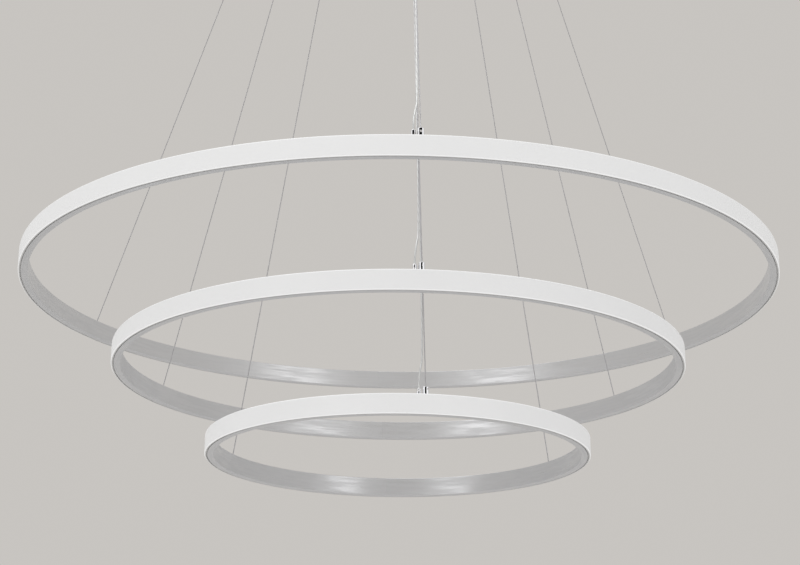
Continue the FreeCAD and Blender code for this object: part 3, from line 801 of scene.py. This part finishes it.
class CHANDELIER_OT_power_cords(Operator):
    """Makes the three power cords, from the canopy down behind the front wires to the rings"""

    bl_idname = "chandelier.power_cords"
    bl_label = "Power cords"

    def execute(self, context):
        for ring in RINGS:
            self.cord(ring, context.scene.chandelier.suspension)
        return {"FINISHED"}

    def cord(self, ring, s):
        radius, top, leaves = ring_facts(ring)
        high, low = wire_ends(ring, "front")
        leaving, front = EXITS[ring]["front"], POINTS[ring]["front"]
        attach, exit_z, ring_z = radius - s.attach_inset, s.canopy_gland_tip, top + s.gland_height

        def behind(z):
            on_wire = high + (low - high) * (high[2] - z) / (high[2] - low[2])
            return on_wire - place(front, s.cord_behind, 0.0)

        route = [
            place(leaving, leaves, exit_z, -s.canopy_gland_offset),
            place(leaving, leaves, exit_z - s.cord_lead, -s.canopy_gland_offset),
            behind(exit_z - s.cord_lead - s.cord_join),
            behind(ring_z + s.cord_join),
            place(front, attach, ring_z + s.cord_ring_lead, -s.gland_offset),
            place(front, attach, ring_z, -s.gland_offset),
        ]
        path = smooth_route(np.array(route))
        sides = 24
        angle = np.arange(sides) * 2 * math.pi / sides
        section = (s.cord_radius - CORE_SKIN) * np.stack((np.cos(angle), np.sin(angle)), 1)
        grid = carried(path, section, place(front, 0.0, 0.0, 1.0))
        steps = np.linalg.norm(np.diff(path, axis=0), axis=1)
        run = np.concatenate(([0.0], np.cumsum(steps))) / steps.sum()
        mesh = mesh_of(f"{ring}_power_cord", [grid], rows_close=False, run=run)
        made = piece(mesh, "canopy", "clear_cord", f"power_cord_{ring}")
        shorten(made, ring, exit_z, ring_z)


class CHANDELIER_OT_wires(Operator):
    """Makes the nine stranded suspension wires, three to a ring"""

    bl_idname = "chandelier.wires"
    bl_label = "Suspension wires"

    def execute(self, context):
        s = context.scene.chandelier.suspension
        for ring in RINGS:
            for side in POINTS[ring]:
                high, low = wire_ends(ring, side)
                grid = stranded(low, high, s.wire_radius - CORE_SKIN, s.wire_lay)
                mesh = mesh_of(f"{ring}_wire_{side}", [grid], rows_close=False, sharp=50.0)
                made = piece(mesh, "canopy", "steel_wire", f"wire_{ring}_{side}")
                shorten(made, ring, high[2], low[2])
        return {"FINISHED"}


class CHANDELIER_OT_ring_frames(Operator):
    """Makes the three rolled aluminium channels, open outwards, each with its seam at the back"""

    bl_idname = "chandelier.ring_frames"
    bl_label = "Ring frames"

    def execute(self, context):
        s = context.scene.chandelier.rings
        for ring in RINGS:
            radius, top, _ = ring_facts(ring)
            bottom = top - s.height
            lip = radius - s.diffuser_wall - s.groove - SKIN
            inner, web = radius - s.depth, radius - s.depth + s.web
            edge = 0.00015
            profile = rounded([
                (inner, top, s.frame_round / 2), (lip, top, edge), (lip, top - s.flange, edge),
                (web, top - s.flange, edge), (web, bottom + s.flange, edge),
                (lip, bottom + s.flange, edge), (lip, bottom, edge), (inner, bottom, s.frame_round),
            ])
            mesh = mesh_of(f"{ring}_ring_frame", [seamed(profile, radius, s.seam)], rows_close=False)
            piece(mesh, f"ring_{ring}", "satin_aluminium", f"ring_frame_{ring}")
        return {"FINISHED"}


class CHANDELIER_OT_diffusers(Operator):
    """Makes the three opal bands that close the channels, each with two legs inside the flanges"""

    bl_idname = "chandelier.diffusers"
    bl_label = "Diffusers"

    def execute(self, context):
        s, colours = context.scene.chandelier.rings, context.scene.chandelier.colours
        for ring in RINGS:
            radius, top, _ = ring_facts(ring)
            bottom = top - s.height
            face, back = radius - SKIN, radius - s.diffuser_wall
            edge, leg, reach, play = 0.0001, 0.001, 0.0012, 0.0001
            tip = back - s.groove - reach
            upper, lower = top - s.flange - play, bottom + s.flange + play
            profile = rounded([
                (back, top, edge), (face, top, s.diffuser_round), (face, bottom, s.diffuser_round),
                (back, bottom, edge), (back, lower, edge), (tip, lower, edge),
                (tip, lower + leg, edge), (back, lower + leg, edge), (back, upper - leg, edge),
                (tip, upper - leg, edge), (tip, upper, edge), (back, upper, edge),
            ])
            mesh = mesh_of(f"{ring}_diffuser", [seamed(profile, radius, s.seam)], rows_close=False)
            points = np.empty(len(mesh.vertices) * 3)
            mesh.vertices.foreach_get("co", points)
            x, y, z = points.reshape(-1, 3).T
            away = np.abs(z - (top + bottom) / 2)
            full = 0.3 * s.diffuser_round
            # Painted highlight: the glow rises towards both rounded edges, less on the upper one; the face
            # keeps its even glow.
            rim = smooth(s.height / 2 - s.diffuser_round, s.height / 2 - full, away)
            rim *= np.where(z > (top + bottom) / 2, colours.upper_share, 1.0)
            face_share = colours.glow_level / colours.rim_level
            outside = smooth(face - 0.85 * s.diffuser_round, face - full, np.hypot(x, y))
            lit = outside * (face_share + (1 - face_share) * rim)
            mesh.attributes.new("lit", "FLOAT", "POINT").data.foreach_set("value", lit.astype(np.float32))
            piece(mesh, f"ring_{ring}", "opal_diffuser", f"diffuser_{ring}")
        return {"FINISHED"}


class CHANDELIER_OT_ring_fittings(Operator):
    """Makes each ring's chrome gripper and cord gland, and the splice screws at its seam"""

    bl_idname = "chandelier.ring_fittings"
    bl_label = "Ring fittings"

    def execute(self, context):
        c = context.scene.chandelier
        for ring in RINGS:
            self.gripper(ring, c.rings, c.suspension)
            self.gland(ring, c.rings, c.suspension)
            self.splice_screws(ring, c.rings)
        return {"FINISHED"}

    def gripper(self, ring, r, s):
        radius, top, _ = ring_facts(ring)
        inside, high = top - r.flange, top + s.gripper_height
        at = place(POINTS[ring]["front"], radius - s.attach_inset, 0.0)
        end, rivet_radius = inside - s.rivet_height, s.stud_radius + 0.0004
        profile = rounded([
            (0.0, end, 0.0), (rivet_radius, end, 0.0003), (rivet_radius, inside, 0.00005),
            (s.stud_radius, inside, 0.00005), (s.stud_radius, top, 0.00005),
            (s.gripper_radius, top, 0.00015), (s.gripper_radius, high, 0.0006), (0.0, high, 0.0),
        ], closed=False, steps=6, lead=0.00008)
        mesh = mesh_of(f"{ring}_ring_gripper", [turned(profile, at)], columns_close=False)
        piece(mesh, f"ring_{ring}", "chrome", f"ring_gripper_{ring}")

    def gland(self, ring, r, s):
        radius, top, _ = ring_facts(ring)
        end, high = top - r.flange - s.rivet_height, top + s.gland_height
        bore = s.cord_radius + s.cord_play
        at = place(POINTS[ring]["front"], radius - s.attach_inset, 0.0, -s.gland_offset)
        profile = rounded([
            (bore, end, 0.00005), (s.stud_radius, end, 0.0001), (s.stud_radius, top, 0.00005),
            (s.gland_radius, top, 0.0002), (s.gland_radius, high, 0.001), (bore, high, 0.00005),
        ], steps=6, lead=0.00005)
        mesh = mesh_of(f"{ring}_ring_cord_gland", [turned(profile, at)])
        piece(mesh, f"ring_{ring}", "chrome", f"ring_cord_gland_{ring}")

    def splice_screws(self, ring, r):
        radius, top, _ = ring_facts(ring)
        low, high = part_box(f"splice_screws_{ring}")
        play, half_bar, from_seam = 0.0001, 0.0017, 0.012
        middle = radius - r.depth + r.web + play + half_bar
        step = math.degrees(from_seam / middle)
        made = screw(
            head_radius=0.0019, head_height=high.z - top, shank_radius=0.0012, reach=top - low.z,
            recess=0.00032,
        )
        grids = [turned_to(made, place(SEAM + way * step, middle, low.z), (0, 0, 1)) for way in (-1, 1)]
        mesh = mesh_of(f"{ring}_splice_screws", grids, columns_close=False)
        piece(mesh, f"ring_{ring}", "zinc_steel", f"splice_screws_{ring}")


class CHANDELIER_OT_canopy(Operator):
    """Makes the canopy's cup and the two screws that hold it to its bracket"""

    bl_idname = "chandelier.canopy"
    bl_label = "Canopy"

    def execute(self, context):
        s = context.scene.chandelier.canopy
        inner = s.radius - s.wall
        profile = rounded([
            (0.0, -s.height, 0.0), (s.radius, -s.height, s.edge), (s.radius, 0.0, 0.0004),
            (inner, 0.0, 0.0004), (inner, s.wall - s.height, s.edge - s.wall),
            (0.0, s.wall - s.height, 0.0),
        ], closed=False, steps=8, lead=0.0006)
        mesh = mesh_of("canopy_cup", [turned(profile, count=240)], columns_close=False)
        piece(mesh, "canopy", "canopy", "canopy_cover")
        reach, level = 0.008, -0.010
        made = screw(
            head_radius=0.0038, head_height=0.0022, shank_radius=0.002, reach=reach, recess=0.00062
        )
        grids = [turned_to(made, (way * (s.radius - reach), 0.0, level), (way, 0, 0)) for way in (-1, 1)]
        mesh = mesh_of("canopy_cup_screws", grids, columns_close=False)
        piece(mesh, "canopy", "canopy", "cover_screws")
        return {"FINISHED"}


class CHANDELIER_OT_canopy_fittings(Operator):
    """Makes the nine wire grippers, their release plungers and the three cord glands under the canopy"""

    bl_idname = "chandelier.canopy_fittings"
    bl_label = "Canopy fittings"

    def execute(self, context):
        c = context.scene.chandelier
        exits = {
            (ring, side): place(azimuth, ring_facts(ring)[2], 0.0)
            for ring in RINGS
            for side, azimuth in EXITS[ring].items()
        }
        self.grippers(exits.values(), c.canopy)
        for (ring, side), at in exits.items():
            self.plunger(ring, side, at, c.canopy, c.suspension)
        self.glands(c.canopy, c.suspension)
        return {"FINISHED"}

    def grippers(self, spots, s):
        under, end = -s.height, -s.height - s.barrel_length
        stud_top, stud = under + s.wall + 0.005, 0.0025
        chamber, roof, neck = 0.0024, under - 0.002, end + s.plunger_room
        full, slim, mouth = s.barrel_radius, s.barrel_radius - 0.0003, 0.0017
        profile = rounded([
            (WIRE_BORE, stud_top, 0.00005), (WIRE_BORE, roof, 0.0001), (chamber, roof, 0.0001),
            (chamber, neck, 0.0001), (mouth, neck, 0.0001), (mouth, end, 0.0002),
            (full, end, 0.0005), (full, under - 0.0062, 0.00002), (full, under - 0.0024, 0.00002),
            (slim, under - 0.0021, 0.0001), (slim, under - 0.0015, 0.0001),
            (full, under - 0.0012, 0.0001), (full, under, 0.0001), (stud, under, 0.00005),
            (stud, stud_top, 0.0002),
        ], steps=3, lead=0.00008)
        grids = [
            knurled(
                turned(profile, at, count=144), at, low=under - 0.0068, high=under - 0.0022, flutes=36,
                depth=0.00018,
            )
            for at in spots
        ]
        piece(mesh_of("canopy_wire_grippers", grids), "canopy", "chrome", "canopy_grippers")

    def plunger(self, ring, side, at, s, p):
        shoulder = -s.height - s.barrel_length + s.plunger_room
        back, head, stem = shoulder + 0.002, 0.0023, 0.0016
        profile = rounded([
            (WIRE_BORE, back, 0.00005), (WIRE_BORE, p.plunger_tip + 0.0005, 0.0001),
            (WIRE_BORE + 0.0004, p.plunger_tip, 0.0001), (stem, p.plunger_tip, 0.0003),
            (stem, shoulder, 0.00005), (head, shoulder, 0.0001), (head, back, 0.0003),
        ], steps=4, lead=0.00005)
        mesh = mesh_of(f"{ring}_release_plunger_{side}", [turned(profile, at, count=64)])
        piece(mesh, f"plunger_{ring}_{side}", "chrome", f"release_plunger_{ring}_{side}")

    def glands(self, s, p):
        under, tip, half = -s.height, p.canopy_gland_tip, s.gland_flats / 2
        hex_end, stud, stud_top = under - 0.0035, 0.002, under + s.wall + 0.0035
        corner, bore = s.gland_flats / math.sqrt(3), p.cord_radius + p.cord_play
        profile = rounded([
            (bore, tip, 0.0001), (0.0017, tip, 0.0003), (half - 0.0004, hex_end, 0.0003),
            (half - 0.0001, hex_end, 0.00005), (corner, hex_end + 0.0003, 0.00005),
            (corner, under, 0.00005), (stud, under, 0.00005), (stud, stud_top, 0.0002),
            (bore, stud_top, 0.00005),
        ], steps=3, lead=0.00005)
        grids = []
        for ring in RINGS:
            at = place(EXITS[ring]["front"], ring_facts(ring)[2], 0.0, -p.canopy_gland_offset)
            grids.append(turned(profile, at, flats=s.gland_flats))
        piece(mesh_of("canopy_glands", grids, sharp=25.0), "canopy", "chrome", "canopy_cord_glands")


class CHANDELIER_OT_grommet(Operator):
    """Makes the soft grommet where the supply cable comes through the bracket"""

    bl_idname = "chandelier.grommet"
    bl_label = "Cable grommet"

    def execute(self, context):
        profile = rounded([
            (0.005, -0.004, 0.0006), (0.012, -0.004, 0.0007), (0.012, -0.002, 0.0003),
            (0.009, -0.002, 0.0001), (0.009, 0.0, 0.0003), (0.005, 0.0, 0.0006),
        ], steps=5)
        piece(mesh_of("supply_grommet", [turned(profile)]), "canopy", "grommet", "cable_grommet")
        return {"FINISHED"}


class CHANDELIER_OT_inner_parts(Operator):
    """Gives the finishes to the model's own nodes: bracket, driver, nuts, wire tails, LED strips and
    the like"""

    bl_idname = "chandelier.inner_parts"
    bl_label = "Inner parts"

    def execute(self, context):
        for node in frame["nodes"].values():
            if node.hide_render:
                continue
            for held in node.material_slots:
                slot = held.material.name.split(".")[0]
                if slot in FINISHES:
                    held.material = finish(slot)
        return {"FINISHED"}


OPERATORS = (
    CHANDELIER_OT_studio, CHANDELIER_OT_power_cords, CHANDELIER_OT_wires, CHANDELIER_OT_ring_frames,
    CHANDELIER_OT_diffusers, CHANDELIER_OT_ring_fittings, CHANDELIER_OT_canopy,
    CHANDELIER_OT_canopy_fittings, CHANDELIER_OT_grommet, CHANDELIER_OT_inner_parts,
)


class CHANDELIER_PT_panel(Panel):
    """The chandelier's tab in the 3D view's sidebar"""

    bl_idname = "CHANDELIER_PT_panel"
    bl_label = "Chandelier"
    bl_space_type = "VIEW_3D"
    bl_region_type = "UI"
    bl_category = "Chandelier"

    def draw(self, context):
        for operator in OPERATORS:
            self.layout.operator(operator.bl_idname)


CLASSES = (
    RingSizes, SuspensionSizes, CanopySizes, FinishColours, StudioSettings, Chandelier, *OPERATORS,
    CHANDELIER_PT_panel,
)


def register():
    for item in CLASSES:
        bpy.utils.register_class(item)
    bpy.types.Scene.chandelier = PointerProperty(type=Chandelier, name="Chandelier")


def unregister():
    del bpy.types.Scene.chandelier
    for item in reversed(CLASSES):
        bpy.utils.unregister_class(item)


def main():
    register()
    for operator in OPERATORS:
        group, name = operator.bl_idname.split(".")
        getattr(getattr(bpy.ops, group), name)()


if __name__ == "__main__":
    main()
